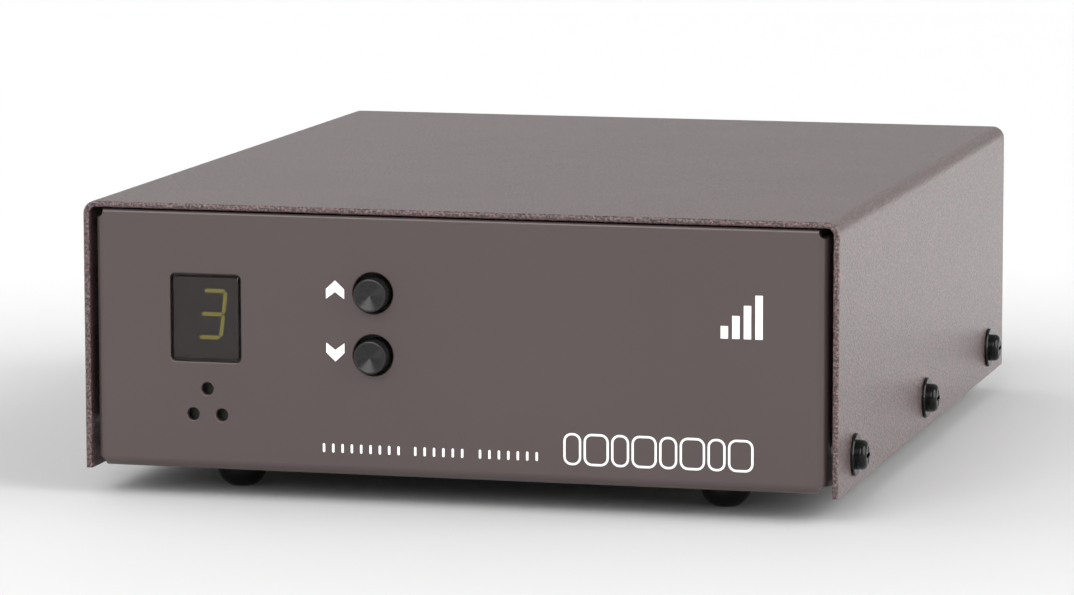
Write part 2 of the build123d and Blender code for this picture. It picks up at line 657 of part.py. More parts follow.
def make_ribbon():
    """Flat cable from the back of the display board to the front of the main board, with its two plugs."""
    start = (back(25.0), up(46.0))
    header_y = MAIN_FRONT + 12.0
    run_z = BOARD_TOP + 13.0
    path = FilletPolyline(start, (start[0], run_z), (header_y + 5, run_z), radius=RIBBON_BEND_R)
    band = Plane.YZ * trace(path, RIBBON_T)
    ribbon = Pos(RIBBON_X, 0, 0) * extrude(band, amount=RIBBON_W / 2, both=True)
    save(ribbon, "ribbon_cable")

    plug_w = 17.2
    shroud_w = 20.3
    front_z = start[1] - 4.5
    board_rear = back(BOARD_FACE + BOARD_T)
    xs = (RIBBON_X - plug_w / 2, RIBBON_X + plug_w / 2)
    front_plug = block(xs, (board_rear + 3, start[0] + 3), (front_z - 3, front_z + 3)) - ribbon
    main_plug = block(xs, (header_y - 3, header_y + 3), (BOARD_TOP + 3, run_z + 3)) - ribbon
    save([front_plug, main_plug], "ribbon_plugs")

    xs = (RIBBON_X - shroud_w / 2, RIBBON_X + shroud_w / 2)
    inner = (RIBBON_X - plug_w / 2 - 0.3, RIBBON_X + plug_w / 2 + 0.3)
    front = block(xs, (board_rear, board_rear + 9), (front_z - 4.5, front_z + 4.5))
    front -= block(inner, (board_rear + 3, board_rear + 10), (front_z - 3.3, front_z + 3.3))
    main = block(xs, (header_y - 4.5, header_y + 4.5), (BOARD_TOP, BOARD_TOP + 9))
    main -= block(inner, (header_y - 3.3, header_y + 3.3), (BOARD_TOP + 3, BOARD_TOP + 10))
    save([front, main], "pin_headers")


# ---------------------------------------------------------------- rear sockets
def d_outline(width, height, grow):
    """Keystone outline of a D-shaped socket, wider at the top, grown by an even margin."""
    lean = height / 2 * tan(radians(10))
    half_w = width / 2 + grow
    half_h = height / 2 + grow
    low_w = half_w - 2 * lean
    corners = ((-half_w, half_h), (half_w, half_h), (low_w, -half_h), (-low_w, -half_h))
    face = make_face(Polyline(*corners, close=True))
    return fillet(face.vertices(), 1.6 + grow)


def jack_places(socket):
    return (socket["x"] - socket["spacing"] / 2, socket["x"] + socket["spacing"] / 2)


def contact_places(socket):
    """Two staggered rows of contacts; the upper row has one more."""
    rows = ((socket["long_row"], 1.42), (socket["long_row"] - 1, -1.42))
    places = []
    for count, height in rows:
        first = socket["x"] - CONTACT_PITCH * (count - 1) / 2
        places += [(first + CONTACT_PITCH * i, up(SOCKET_Z) + height) for i in range(count)]
    return places


def make_socket(socket):
    """Shell and insulator of one D-shaped socket; returns its contacts."""
    centre = Pos(socket["x"], up(SOCKET_Z))
    tip = REAR_INSIDE + SHELL_REACH
    flange = Rectangle(socket["flange_w"], FLANGE_H)
    inner = d_outline(socket["shell_w"] - 2 * SHELL_T, SHELL_H - 2 * SHELL_T, 0)
    shell = slab(centre * flange, REAR_INSIDE - FLANGE_T, REAR_INSIDE)
    shell += slab(centre * d_outline(socket["shell_w"], SHELL_H, 0), REAR_INSIDE, tip)
    shell -= slab(centre * inner, REAR_INSIDE - FLANGE_T - 1, tip + 1)
    for x in jack_places(socket):
        shell -= rod(x, up(SOCKET_Z), FLANGE_HOLE_R, REAR_INSIDE - FLANGE_T - 1, REAR_INSIDE + 1)
    save(shell, f"{socket['name']}_socket_shell")

    block_back = REAR_INSIDE - FLANGE_T - HOUSING_DEPTH
    insulator = slab(centre * inner, REAR_INSIDE - FLANGE_T, tip - 0.2)
    half = socket["shell_w"] / 2
    xs = (socket["x"] - half, socket["x"] + half)
    zs = (BOARD_TOP, up(SOCKET_Z) + FLANGE_H / 2 - 1)
    insulator += block(xs, (block_back, REAR_INSIDE - FLANGE_T), zs)
    contacts = []
    for x, z in contact_places(socket):
        insulator -= rod(x, z, CONTACT_R, REAR_INSIDE - FLANGE_T, tip + 1)
        tube = rod(x, z, CONTACT_R, REAR_INSIDE - FLANGE_T, tip - 0.5)
        contacts.append(tube - rod(x, z, CONTACT_BORE_R, REAR_INSIDE, tip + 1))
    save(insulator, f"{socket['name']}_socket_insulator")
    return contacts


def make_phono(x):
    """Barrel, housing and centre contact of one phono socket."""
    z = up(SOCKET_Z)
    tip = REAR_FACE + PHONO_OUT
    seat = REAR_INSIDE - 0.5
    barrel = rod(x, z, PHONO_R, REAR_FACE, tip) + rod(x, z, PHONO_SHOULDER_R, seat, REAR_FACE)
    barrel += rod(x, z, PHONO_R + 1.2, seat, REAR_INSIDE)
    barrel -= rod(x, z, PHONO_R - 0.6, seat - 1, tip + 1)
    housing = block((x - 6, x + 6), (REAR_INSIDE - 13, seat), (BOARD_TOP, z + 6.5))
    housing += rod(x, z, PHONO_R - 0.6, seat, tip - 0.6)
    sleeve_r = PHONO_BORE_R + 0.3
    deep = tip - 0.6 - 8.5
    housing -= rod(x, z, sleeve_r, deep, tip)
    sleeve = slab(Pos(x, z) * (Circle(sleeve_r) - Circle(PHONO_BORE_R)), deep, tip - 0.6)
    return barrel, housing, sleeve


def make_jackscrew(x):
    """Hexagonal female screw lock: tapped head outside, threaded shank through the panel and flange."""
    z = up(SOCKET_Z)
    head = slab(Pos(x, z) * hexagon(JACK_AF), REAR_FACE, REAR_FACE + JACK_LENGTH)
    head -= rod(x, z, JACK_THREAD_R, REAR_FACE + 0.4, REAR_FACE + JACK_LENGTH + 1)
    shank = rod(x, z, JACK_THREAD_R - THREAD_GAP, REAR_INSIDE - FLANGE_T - 1.2, REAR_FACE)
    return head + shank


def make_rear():
    contacts = []
    for socket in SOCKETS:
        contacts += make_socket(socket)
    save([make_jackscrew(x) for socket in SOCKETS for x in jack_places(socket)], "jackscrews")
    phonos = [make_phono(x) for x in PHONO_X]
    save([phono[0] for phono in phonos], "phono_shells")
    save([phono[1] for phono in phonos], "phono_housings")
    save(contacts + [phono[2] for phono in phonos], "socket_contacts")


# ---------------------------------------------------------------- ground terminal
def make_ground_terminal():
    """Bolt through the rear panel, its fixed nut, and the washer and wing nut that clamp a ground lead."""
    z = up(GROUND_Z)
    place = Pos(GROUND_X, z)
    stud = slab(place * hexagon(8.0), REAR_INSIDE - 3.5, REAR_INSIDE)
    stud += rod(GROUND_X, z, GROUND_R, REAR_INSIDE, REAR_FACE + GROUND_OUT)
    stud = chamfer(stud.edges().sort_by(Axis.Y)[-1], 0.5)
    save(stud, "ground_stud")
    bore = GROUND_R + WING_GAP
    nut = slab(place * (hexagon(8.0) - Circle(bore)), REAR_FACE, REAR_FACE + GROUND_NUT_H)
    save(nut, "ground_nut")
    low = REAR_FACE + GROUND_NUT_H + TURNING_GAP
    high = low + CLAMP_WASHER_T
    save(slab(place * (Circle(5.0) - Circle(bore)), low, high), "clamp_washer")

    hub = Pos(0, 0, WING_HUB_H / 2) * Cone(4.8, 4.0, WING_HUB_H)
    half = WING_SPAN / 2
    root = [(3.2, 4.3), (2.8, 0.9), (5.0, 0.9)]
    tip = [(half - 2.6, 4.4), (half, 7.6), (half - 2.4, 9.2)]
    lobe = make_face(Polyline(*root, *tip, close=True))
    wing = fillet(lobe.vertices().sort_by(Axis.X)[-3:], 1.4)
    plane = Plane(origin=(0, 0, 0), x_dir=(1, 0, 0), z_dir=(0, -1, 0))
    plate = extrude(plane * wing, amount=0.9, both=True)
    nut = hub + plate + Rot(0, 0, 180) * plate
    nut -= post(0, 0, bore, -1, WING_HUB_H + 8)
    save(Pos(GROUND_X, high + TURNING_GAP, z) * Rot(-90, 0, 0) * nut, "wing_nut")


# ---------------------------------------------------------------- build
save(make_cover(), "cover")
save(make_chassis(), "chassis")
make_cover_fasteners()
make_feet()
make_display()
make_front_board()
make_button("up", UP_BUTTON_Z)
make_button("down", DOWN_BUTTON_Z)
make_main_board()
make_components()
make_ribbon()
make_rear()
make_ground_terminal()
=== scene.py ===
import json
from math import cos, pi, radians, sin

import bpy
from mathutils import Matrix, Vector


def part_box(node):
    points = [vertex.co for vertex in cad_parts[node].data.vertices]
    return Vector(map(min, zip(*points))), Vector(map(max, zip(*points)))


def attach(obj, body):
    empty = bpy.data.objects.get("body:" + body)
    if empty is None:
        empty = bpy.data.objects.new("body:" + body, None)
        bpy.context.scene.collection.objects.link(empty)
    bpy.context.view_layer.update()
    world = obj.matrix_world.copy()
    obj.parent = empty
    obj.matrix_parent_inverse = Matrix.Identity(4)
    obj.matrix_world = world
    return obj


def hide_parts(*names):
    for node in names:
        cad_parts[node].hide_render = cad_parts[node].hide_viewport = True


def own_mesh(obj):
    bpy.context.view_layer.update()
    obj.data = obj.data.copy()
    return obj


# Antenna selector control box: its finishes, printed marks and studio, built around the CAD frame.
# Lengths are in metres. The front panel faces -Y, +X is to the right as seen from the front, +Z is
# up and the table is at z = 0.

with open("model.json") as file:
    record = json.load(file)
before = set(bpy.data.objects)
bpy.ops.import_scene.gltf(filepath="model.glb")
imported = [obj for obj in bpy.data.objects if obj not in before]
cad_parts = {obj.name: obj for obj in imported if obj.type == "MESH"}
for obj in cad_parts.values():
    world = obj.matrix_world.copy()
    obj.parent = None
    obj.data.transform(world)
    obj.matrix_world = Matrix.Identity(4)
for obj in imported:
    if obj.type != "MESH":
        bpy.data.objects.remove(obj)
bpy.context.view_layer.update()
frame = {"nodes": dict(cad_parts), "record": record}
NODES = frame["nodes"]
SLOT_OF = {part["node"]: part["material_slot"] for part in frame["record"]["subparts"]}

MM = 0.001
COVER_LOW, COVER_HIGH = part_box("cover")
PANEL_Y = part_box("chassis")[0].y
REAR_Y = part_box("chassis")[1].y


# ---------------------------------------------------------------- building shaders
NOISE_LOW, NOISE_HIGH = 0.3, 0.7  # where most of a noise's values lie
WAVE_FACTOR = 20  # the wave texture multiplies the position by this


def feed(tree, socket, value):
    """Gives a node's input a plain value, or links another node's output to it."""
    if isinstance(value, bpy.types.NodeSocket):
        tree.links.new(value, socket)
    else:
        socket.default_value = value


class Finish:
    """A material being built: its node tree and the Principled shader that everything feeds."""

    def __init__(self, name, **values):
        self.material = bpy.data.materials.new(name)
        self.material.use_nodes = True
        self.tree = self.material.node_tree
        self.shader = self.tree.nodes["Principled BSDF"]
        for socket, value in values.items():
            self.set(socket.replace("_", " "), value)

    def set(self, socket, value):
        """Feeds an input of the Principled shader; a tuple is a colour."""
        if isinstance(value, tuple):
            value = (*value, 1.0)
        feed(self.tree, self.shader.inputs[socket], value)

    def add(self, kind, inputs, **settings):
        """A node with its inputs set or linked."""
        made = self.tree.nodes.new(kind)
        for key, value in settings.items():
            setattr(made, key, value)
        for key, value in inputs.items():
            feed(self.tree, made.inputs[key], value)
        return made

    def place(self, stretch=(1, 1, 1)):
        """Position on the piece in metres, stretched along an axis."""
        spot = self.add("ShaderNodeTexCoord", {}).outputs["Object"]
        inputs = {"Vector": spot, "Scale": stretch}
        return self.add("ShaderNodeMapping", inputs).outputs["Vector"]

    def total(self, a, b):
        """The sum of two values."""
        return self.add("ShaderNodeMath", {0: a, 1: b}, operation="ADD").outputs["Value"]

    def noise(self, size, detail=2.0, roughness=0.5, where=None):
        """Cloudy noise with lumps of about this size in metres."""
        inputs = {"Vector": where or self.place(), "Scale": 1 / size,
                  "Detail": detail, "Roughness": roughness}
        return self.add("ShaderNodeTexNoise", inputs).outputs["Fac"]

    def cells(self, size):
        """Distance to the middle of the nearest of many small cells."""
        inputs = {"Vector": self.place(), "Scale": 1 / size}
        return self.add("ShaderNodeTexVoronoi", inputs, feature="F1").outputs["Distance"]

    def bands(self, pitch, axis):
        """Even ridges across an axis, this far apart."""
        inputs = {"Vector": self.place(), "Scale": 2 * pi / pitch / WAVE_FACTOR, "Distortion": 0.0}
        settings = {"wave_type": "BANDS", "wave_profile": "SIN", "bands_direction": axis}
        return self.add("ShaderNodeTexWave", inputs, **settings).outputs["Fac"]

    def blend(self, fac, colour_a, colour_b, low=NOISE_LOW, high=NOISE_HIGH):
        """Colour that passes from one to the other as the factor passes between two levels."""
        ramp = self.add("ShaderNodeValToRGB", {"Fac": fac})
        stops = ((low, colour_a), (high, colour_b))
        for element, (position, colour) in zip(ramp.color_ramp.elements, stops):
            element.position = position
            element.color = (*colour, 1.0)
        return ramp.outputs["Color"]

    def spread(self, fac, low, high):
        """A noise turned into a value between two limits."""
        inputs = {"Value": fac, "From Min": NOISE_LOW, "From Max": NOISE_HIGH,
                  "To Min": low, "To Max": high}
        return self.add("ShaderNodeMapRange", inputs).outputs["Result"]

    def bump(self, height, depth, strength, under=None):
        """Surface normal with the height's relief, this deep in metres."""
        inputs = {"Height": height, "Distance": depth, "Strength": strength}
        if under:
            inputs["Normal"] = under
        return self.add("ShaderNodeBump", inputs).outputs["Normal"]


def shade(colour, factor):
    """A colour made darker or lighter."""
    return tuple(min(channel * factor, 1.0) for channel in colour)


def grey(level):
    """A colour with three equal channels."""
    return (level, level, level)


CLOUDING = 0.12


def moulded(name, colour, gloss, grain=0.25 * MM, relief=0.01 * MM, **extra):
    """Plastic, rubber, resin or paint with a fine moulded grain and slight clouding."""
    finish = Finish(name, **extra)
    fine = finish.noise(grain, detail=3.0)
    cloud = finish.noise(18 * MM)
    dark, light = shade(colour, 1 - CLOUDING), shade(colour, 1 + CLOUDING)
    finish.set("Base Color", finish.blend(finish.total(fine, cloud), dark, light, 0.75, 1.0))
    finish.set("Roughness", finish.spread(fine, gloss - 0.05, gloss + 0.07))
    finish.set("Normal", finish.bump(fine, relief, 0.5))
    return finish.material


def metal(name, colour, gloss, brush=(1, 1, 1), grain=0.3 * MM):
    """Bare or plated metal, with tool marks drawn out along an axis."""
    finish = Finish(name, Metallic=1.0)
    marks = finish.noise(grain, detail=4.0, where=finish.place(stretch=brush))
    tarnish = finish.noise(7 * MM, detail=3.0)
    finish.set("Base Color", finish.blend(tarnish, shade(colour, 0.88), shade(colour, 1.05)))
    finish.set("Roughness", finish.spread(marks, gloss - 0.06, gloss + 0.1))
    finish.set("Normal", finish.bump(marks, 0.006 * MM, 0.35))
    return finish.material


# ---------------------------------------------------------------- finishes
COVER_BROWN = (0.066, 0.039, 0.039)
PANEL_BROWN = (0.059, 0.042, 0.040)
MASK_GREEN = ((0.012, 0.085, 0.03, 1), (0.01, 0.07, 0.026, 1))
TRACK_GREEN = (0.03, 0.17, 0.06, 1)
TRACK_PITCH = 5.08 * MM
WIRE_PITCH = 1.27 * MM
RESISTOR_RING_PITCH = 1.6 * MM


def textured_paint():
    """Brown powder coat with a coarse sandy texture and a gloss that shows at low angles."""
    finish = Finish("textured_paint", IOR=1.3, Coat_Weight=1.0, Coat_Roughness=0.25, Coat_IOR=1.42)
    sand = finish.noise(0.6 * MM, detail=4.0, roughness=0.6)
    pits = finish.cells(0.8 * MM)
    cloud = finish.noise(30 * MM)
    fine = finish.blend(sand, shade(COVER_BROWN, 0.3), shade(COVER_BROWN, 2.4), 0.42, 0.62)
    broad = finish.blend(cloud, grey(0.94), grey(1.04))
    # sockets 6, 7 and 2 are the mix node's two colours and its result
    tone = finish.add("ShaderNodeMix", {"Factor": 1.0, 6: fine, 7: broad},
                      data_type="RGBA", blend_type="MULTIPLY")
    finish.set("Base Color", tone.outputs[2])
    finish.set("Roughness", finish.spread(sand, 0.34, 0.55))
    relief = finish.bump(finish.total(sand, pits), 0.22 * MM, 0.8)
    finish.set("Normal", relief)
    finish.set("Coat Normal", relief)
    return finish.material


def satin_paint():
    """Smooth brown paint with a faint orange peel."""
    finish = Finish("satin_paint")
    peel = finish.noise(1.6 * MM)
    dust = finish.noise(0.35 * MM)
    cloud = finish.noise(40 * MM)
    dark, light = shade(PANEL_BROWN, 0.97), shade(PANEL_BROWN, 1.03)
    finish.set("Base Color", finish.blend(cloud, dark, light))
    finish.set("Roughness", finish.spread(dust, 0.30, 0.33))
    under = finish.bump(peel, 0.012 * MM, 0.3)
    finish.set("Normal", finish.bump(dust, 0.003 * MM, 0.15, under=under))
    return finish.material


def smoked_acrylic():
    """Thin dark see-through sheet with a polished face and the faintest waviness."""
    finish = Finish("smoked_acrylic", Alpha=0.72, IOR=1.45)
    wave = finish.noise(9 * MM, detail=1.0)
    wear = finish.noise(4 * MM)
    finish.set("Base Color", finish.blend(wave, (0.014, 0.009, 0.009), (0.016, 0.010, 0.010)))
    finish.set("Roughness", finish.spread(wear, 0.015, 0.04))
    finish.set("Normal", finish.bump(wave, 0.01 * MM, 0.2))
    return finish.material


def circuit_board():
    """Green solder mask, with tracks showing through as paler lines."""
    finish = Finish("circuit_board")
    bricks = {
        "Vector": finish.place(), "Scale": 1 / TRACK_PITCH, "Brick Width": 1.0, "Row Height": 0.5,
        "Mortar Size": 0.06, "Mortar Smooth": 0.1,
        "Color1": MASK_GREEN[0], "Color2": MASK_GREEN[1], "Mortar": TRACK_GREEN,
    }
    tracks = finish.add("ShaderNodeTexBrick", bricks, offset=0.5)
    weave = finish.noise(0.4 * MM)
    finish.set("Base Color", tracks.outputs["Color"])
    finish.set("Roughness", finish.spread(weave, 0.28, 0.42))
    finish.set("Normal", finish.bump(tracks.outputs["Fac"], 0.03 * MM, 0.5))
    return finish.material


def grey_ribbon():
    """Grey flat cable, ribbed along its length at the pitch of its wires, with painted shade in
    the grooves.
    """
    finish = Finish("grey_ribbon")
    ribs = finish.bands(WIRE_PITCH, "X")
    fine = finish.noise(0.4 * MM)
    # darker in the grooves and paler on the crests: painted shade that follows the ribs
    tone = finish.blend(ribs, (0.25, 0.25, 0.26), (0.42, 0.42, 0.43), 0.1, 0.9)
    finish.set("Base Color", tone)
    finish.set("Roughness", finish.spread(fine, 0.45, 0.6))
    finish.set("Normal", finish.bump(ribs, 0.15 * MM, 0.8))
    return finish.material


def resistor_film():
    """Lacquered resistor with coloured rings round it."""
    finish = Finish("resistor_film")
    rings = finish.bands(RESISTOR_RING_PITCH, "Y")
    fine = finish.noise(0.3 * MM)
    tone = finish.blend(rings, (0.30, 0.47, 0.58), (0.32, 0.08, 0.04), 0.72, 0.8)
    finish.set("Base Color", tone)
    finish.set("Roughness", finish.spread(fine, 0.3, 0.42))
    finish.set("Normal", finish.bump(fine, 0.01 * MM, 0.4))
    return finish.material


def lit_segment():
    """Diffusing resin of a lit segment."""
    finish = Finish("lit_segment", Emission_Color=(0.70, 0.64, 0.07), Emission_Strength=2.5)
    resin = (0.30, 0.30, 0.06)
    fine = finish.noise(0.25 * MM, detail=3.0)
    finish.set("Base Color", finish.blend(fine, shade(resin, 0.85), shade(resin, 1.1)))
    finish.set("Roughness", finish.spread(fine, 0.3, 0.45))
    finish.set("Normal", finish.bump(fine, 0.008 * MM, 0.3))
    return finish.material


def white_print():
    """Screen-printed white ink, slightly uneven."""
    finish = Finish("white_print")
    ink = finish.noise(0.5 * MM, detail=3.0)
    finish.set("Base Color", finish.blend(ink, (0.90, 0.89, 0.88), (0.95, 0.94, 0.93)))
    finish.set("Roughness", finish.spread(ink, 0.4, 0.55))
    finish.set("Normal", finish.bump(ink, 0.006 * MM, 0.3))
    return finish.material


FINISHES = {
    "textured_paint": textured_paint(),
    "satin_paint": satin_paint(),
    "black_steel": moulded(
        "black_steel", grey(0.005), 0.10, grain=0.6 * MM, relief=0.002 * MM, IOR=1.27),
    "zinc_steel": metal("zinc_steel", (0.60, 0.60, 0.58), 0.32, grain=0.5 * MM),
    "black_rubber": moulded(
        "black_rubber", grey(0.006), 0.18, grain=0.8 * MM, relief=0.004 * MM, IOR=1.35),
    "smoked_acrylic": smoked_acrylic(),
    "circuit_board": circuit_board(),
    "nylon": moulded(
        "nylon", (0.72, 0.71, 0.66), 0.45, Subsurface_Weight=0.1, Subsurface_Scale=0.5 * MM),
    "display_grey": moulded(
        "display_grey", (0.020, 0.020, 0.021), 0.6, grain=0.15 * MM, relief=0.004 * MM),
    "lit_segment": lit_segment(),
    "unlit_segment": moulded("unlit_segment", grey(0.032), 0.5),
    "tinned_lead": metal("tinned_lead", (0.64, 0.64, 0.65), 0.28),
    "black_plastic": moulded("black_plastic", grey(0.016), 0.48),
    "black_cap": moulded("black_cap", (0.013, 0.0125, 0.0125), 0.27, relief=0.002 * MM, IOR=1.38),
    "spring_steel": metal("spring_steel", grey(0.48), 0.25),
    "grey_ribbon": grey_ribbon(),
    "aluminium": metal("aluminium", (0.62, 0.62, 0.64), 0.38, brush=(1, 1, 0.08)),
    "bright_can": metal("bright_can", grey(0.70), 0.18, brush=(0.2, 1, 1)),
    "blue_sleeve": moulded("blue_sleeve", (0.02, 0.05, 0.20), 0.3),
    "resistor_film": resistor_film(),
    "ceramic": moulded("ceramic", (0.55, 0.25, 0.06), 0.5, relief=0.03 * MM),
    "diode_body": moulded("diode_body", grey(0.018), 0.3),
    "nickel": metal("nickel", (0.68, 0.66, 0.61), 0.2),
    "gold_contact": metal("gold_contact", (0.80, 0.58, 0.24), 0.22),
    "white_print": white_print(),
}

for name, node in NODES.items():
    node.data.materials[0] = FINISHES[SLOT_OF[name]]


# ---------------------------------------------------------------- building pieces
CORNER_STEPS = 6


def piece(name, points, faces, slot, body, smooth=False):
    """Mesh in the row frame with a finish, riding on a body."""
    mesh = bpy.data.meshes.new(name)
    mesh.from_pydata(points, [], faces)
    mesh.update()
    made = bpy.data.objects.new(name, mesh)
    bpy.context.collection.objects.link(made)
    mesh.materials.append(FINISHES[slot])
    if smooth:
        mesh.shade_smooth()
    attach(made, body)
    return made


def middle(low, high):
    """Middle of a box across and up."""
    return (low.x + high.x) / 2, (low.z + high.z) / 2


def prism(outline, y_front, y_back):
    """Points and faces of an outline in X and Z carried between two depths."""
    count = len(outline)
    points = [(x, y, z) for y in (y_front, y_back) for x, z in outline]
    faces = [tuple(range(count)), tuple(range(2 * count - 1, count - 1, -1))]
    for i in range(count):
        j = (i + 1) % count
        faces.append((i, i + count, j + count, j))
    return points, faces


def ring(outer, inner, y_front, y_back):
    """Points and faces of a closed strip between two outlines with as many points each."""
    count = len(outer)
    points = [(x, y, z) for y in (y_front, y_back) for loop in (outer, inner) for x, z in loop]
    outer_f, inner_f, outer_b, inner_b = (k * count for k in range(4))
    faces = []
    for i in range(count):
        j = (i + 1) % count
        faces.append((outer_f + i, outer_f + j, inner_f + j, inner_f + i))
        faces.append((outer_b + j, outer_b + i, inner_b + i, inner_b + j))
        faces.append((outer_f + j, outer_f + i, outer_b + i, outer_b + j))
        faces.append((inner_f + i, inner_f + j, inner_b + j, inner_b + i))
    return points, faces


def joined(shapes):
    """One set of points and faces from several."""
    points, faces = [], []
    for more_points, more_faces in shapes:
        start = len(points)
        points += more_points
        faces += [tuple(index + start for index in face) for face in more_faces]
    return points, faces


def rectangle(x, z, width, height):
    """Outline about a middle."""
    return [(x - width / 2, z - height / 2), (x + width / 2, z - height / 2),
            (x + width / 2, z + height / 2), (x - width / 2, z + height / 2)]


def rounded(x, z, width, height, radius):
    """Outline of a rectangle with round corners about a middle."""
    corners = ((1, -1, -90), (1, 1, 0), (-1, 1, 90), (-1, -1, 180))
    outline = []
    for side_x, side_z, start in corners:
        centre_x = x + side_x * (width / 2 - radius)
        centre_z = z + side_z * (height / 2 - radius)
        for i in range(CORNER_STEPS + 1):
            angle = radians(start + 90 * i / CORNER_STEPS)
            outline.append((centre_x + radius * cos(angle), centre_z + radius * sin(angle)))
    return outline


def rim(x, z, width, height, radius, line):
    """Outer and inner outline of a rounded rectangle drawn with a line this thick."""
    inner = rounded(x, z, width - 2 * line, height - 2 * line, radius - line)
    return rounded(x, z, width, height, radius), inner


# ---------------------------------------------------------------- printed marks on the front
PRINT_T = 0.04 * MM
FRONT_PRINT = (PANEL_Y - PRINT_T, PANEL_Y - PRINT_T / 4)

# in millimetres, across from the middle and up from the cover's lower edge
ARROW_X = -29.95
UP_ARROW_Z, DOWN_ARROW_Z = 46.13, 30.88
ARROW_HALF_W = 2.3
ARROW_TIP, ARROW_SHOULDER, ARROW_NOTCH, ARROW_FOOT = 2.27, 0.12, -0.58, -2.28

BAR_COUNT = 4
BAR_X, BAR_FOOT_Z = 66.3, 37.6
BAR_W, BAR_PITCH = 1.8, 2.8
BAR_H, BAR_RISE = 3.0, 2.5

TICK_GROUPS = ((-33.0, 9), (-10.0, 6), (6.2, 7))  # where each starts and how many it has
TICK_Z = 7.4
TICK_W, TICK_H, TICK_R = 0.6, 2.2, 0.28
TICK_PITCH = 2.35

ROW_X, ROW_Z = 26.9, 9.55
ROW_WIDTHS = (4.4, 6.2) * 4
ROW_H, ROW_R = 7.8, 2.0
ROW_LINE, ROW_GAP = 0.55, 0.6


def on_panel(outline):
    """An outline given in millimetres, in its place on the front panel."""
    return [(x * MM, COVER_LOW.z + z * MM) for x, z in outline]


def arrow(name, z, point_up):
    """Solid arrowhead: a roof with a notch below."""
    flip = 1 if point_up else -1
    outline = [
        (0, ARROW_TIP), (-ARROW_HALF_W, ARROW_SHOULDER), (-ARROW_HALF_W, ARROW_FOOT),
        (0, ARROW_NOTCH), (ARROW_HALF_W, ARROW_FOOT), (ARROW_HALF_W, ARROW_SHOULDER),
    ]
    outline = on_panel([(ARROW_X + a, z + flip * b) for a, b in outline])
    if not point_up:
        outline.reverse()
    piece(name, *prism(outline, *FRONT_PRINT), "white_print", "case")


def signal_mark():
    """Four bars rising to the right."""
    bars = []
    for i in range(BAR_COUNT):
        height = BAR_H + BAR_RISE * i
        bar = rectangle(BAR_X + BAR_PITCH * i, BAR_FOOT_Z + height / 2, BAR_W, height)
        bars.append(prism(on_panel(bar), *FRONT_PRINT))
    piece("signal_mark", *joined(bars), "white_print", "case")


def label_ticks():
    """Three groups of small upright ticks in a row."""
    ticks = []
    for start, count in TICK_GROUPS:
        for i in range(count):
            tick = rounded(start + TICK_PITCH * i, TICK_Z, TICK_W, TICK_H, TICK_R)
            ticks.append(prism(on_panel(tick), *FRONT_PRINT))
    piece("label_ticks", *joined(ticks), "white_print", "case")


def outlined_row():
    """A row of thin rounded outlines, narrow and wide by turns."""
    shapes = []
    left = ROW_X
    for width in ROW_WIDTHS:
        outer, inner = rim(left + width / 2, ROW_Z, width, ROW_H, ROW_R, ROW_LINE)
        shapes.append(ring(on_panel(outer), on_panel(inner), *FRONT_PRINT))
        left += width + ROW_GAP
    piece("outlined_row", *joined(shapes), "white_print", "case")


arrow("up_mark", UP_ARROW_Z, True)
arrow("down_mark", DOWN_ARROW_Z, False)
signal_mark()
label_ticks()
outlined_row()


# ---------------------------------------------------------------- printed marks on the rear
REAR_PRINT = (REAR_Y + PRINT_T / 4, REAR_Y + PRINT_T)
SOCKET_MARGIN = 1.5 * MM
SOCKET_RIM_R, SOCKET_LINE = 2 * MM, 0.5 * MM
SIGN_LINE = 0.6 * MM
SIGN_STEM_DROP, SIGN_STEM_H = 12 * MM, 3 * MM
SIGN_BAR_COUNT = 3
SIGN_BAR_DROP, SIGN_BAR_PITCH = 13.8 * MM, 1.2 * MM
SIGN_BAR_W, SIGN_BAR_STEP = 5.4 * MM, 1.8 * MM


def rear_marks():
    """Thin outlines round the sockets and a ground sign below the terminal."""
    shapes = []
    for socket in ("control_socket_shell", "serial_socket_shell"):
        low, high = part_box(socket)
        width = high.x - low.x + 2 * SOCKET_MARGIN
        height = high.z - low.z + 2 * SOCKET_MARGIN
        outer, inner = rim(*middle(low, high), width, height, SOCKET_RIM_R, SOCKET_LINE)
        shapes.append(ring(outer, inner, *REAR_PRINT))
    x, z = middle(*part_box("ground_nut"))
    shapes.append(prism(rectangle(x, z - SIGN_STEM_DROP, SIGN_LINE, SIGN_STEM_H), *REAR_PRINT))
    for i in range(SIGN_BAR_COUNT):
        drop = SIGN_BAR_DROP + SIGN_BAR_PITCH * i
        width = SIGN_BAR_W - SIGN_BAR_STEP * i
        shapes.append(prism(rectangle(x, z - drop, width, SIGN_LINE), *REAR_PRINT))
    piece("rear_marks", *joined(shapes), "white_print", "case")


rear_marks()


# ---------------------------------------------------------------- button caps
CAP_SIDES = 96
GROOVE_PITCH = 0.22 * MM
GROOVE_DEPTH = 0.055 * MM
GROOVE_LEAN = 0.8  # how much of a groove's width its outer flank takes up
CAP_EDGE = 0.3 * MM
CAP_EDGE_BEND = (0.4, 0.25)  # where the edge's round passes, as parts of its size
CAP_DISH = 0.2 * MM
PLUNGER_R = 1.85 * MM
PLUNGER_DEPTH = 3.4 * MM
SAME = 1e-6


